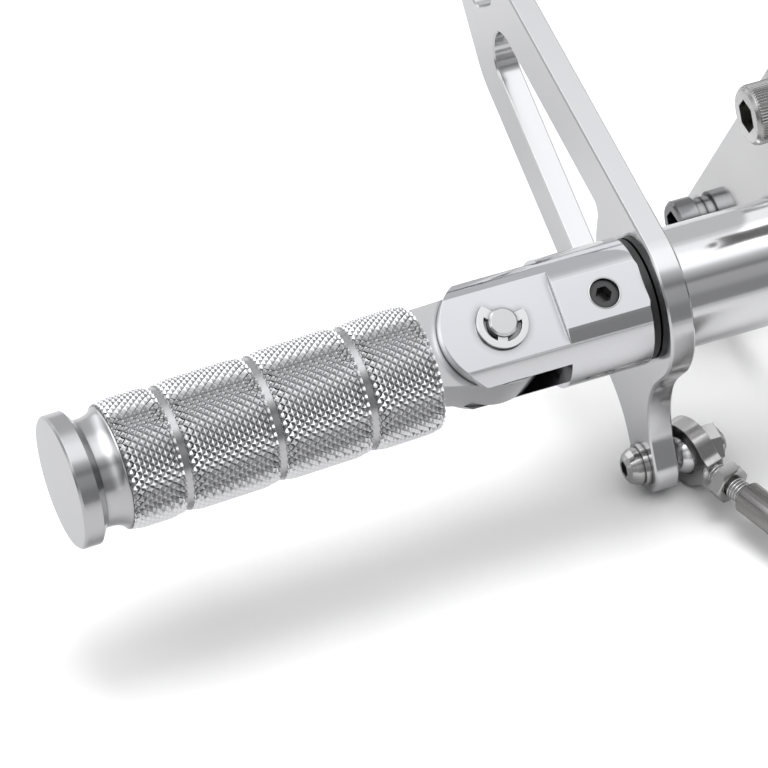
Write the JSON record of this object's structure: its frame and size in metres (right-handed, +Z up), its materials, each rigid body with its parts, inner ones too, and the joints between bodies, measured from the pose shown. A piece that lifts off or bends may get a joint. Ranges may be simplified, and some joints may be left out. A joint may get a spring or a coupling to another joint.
{
  "type": "motorcycle forward control",
  "caption": "Motorcycle forward control with a knurled folding foot peg in a clevis, a slotted shift lever on the same shaft, a linkage rod with ball ends and a bolt-on mounting plate.",
  "frame": {"origin": "centre of the mounting plate's back face, on the pivot shaft's axis", "axes": "+X inboard along the pivot shaft, from the foot peg towards the motorcycle's frame; +Y forward; +Z up"},
  "size_m": [0.242, 0.3499, 0.1353],
  "materials": {
    "polished_plate": "polished",
    "polished_tube": "polished",
    "ground_shaft": "ground",
    "polished_clevis": "satin polished",
    "dark_screw": "bright",
    "black_washer": "matte",
    "knurled_aluminium": "satin, knurled",
    "satin_lever": "satin",
    "bearing_bronze": "machined",
    "turned_rod": "turned",
    "turned_toe_peg": "turned",
    "screw_steel": "bright",
    "pin_steel": "bright",
    "spring_steel": "bright",
    "ball_steel": "polished",
    "rod_end_steel": "turned"
  },
  "bodies": {
    "base": {"mounting_plate": "polished_plate", "standoff_tube": "polished_tube", "pivot_shaft": "ground_shaft", "upper_plate_screw": "screw_steel", "lower_plate_screw": "screw_steel", "lower_screw_collar": "screw_steel", "peg_clevis": "polished_clevis", "clevis_set_screw": "dark_screw", "thrust_washer": "black_washer", "clevis_pin": "pin_steel", "pin_e_clip": "spring_steel"},
    "peg": {"foot_peg": "knurled_aluminium"},
    "lever": {"shift_lever": "satin_lever", "lever_bushing": "bearing_bronze", "arm_screw": "screw_steel", "arm_screw_washer": "screw_steel", "ball_spacer": "screw_steel", "rod_end_ball": "ball_steel", "arm_lock_nut": "screw_steel", "toe_peg": "turned_toe_peg", "toe_peg_screw": "screw_steel"},
    "rod": {"rod_end_body": "rod_end_steel", "front_jam_nut": "rod_end_steel", "linkage_rod": "turned_rod", "rear_jam_nut": "rod_end_steel", "rear_rod_end_body": "rod_end_steel"},
    "rear_ball": {"rear_rod_end_ball": "ball_steel"}
  },
  "joints": [
    {"name": "peg_fold", "type": "hinge", "parent": "base", "child": "peg", "pos_m": [-0.0945, 0, 0], "axis": [0, -0.5, 0.866], "range_deg": [-1.9, 85]},
    {"name": "lever_pivot", "type": "hinge", "parent": "base", "child": "lever", "pos_m": [-0.0489, 0, 0], "axis": [1, 0, 0], "range_deg": [-20, 20]},
    {"name": "rod_swing", "type": "hinge", "parent": "lever", "child": "rod", "pos_m": [-0.0393, -0.0094, -0.0538], "axis": [1, 0, 0], "range_deg": [-30, 30]},
    {"name": "rear_ball_swivel", "type": "hinge", "parent": "rod", "child": "rear_ball", "pos_m": [0.01258, -0.16907, -0.04764], "axis": [0.9511, 0.309, 0], "continuous": true}
  ]
}
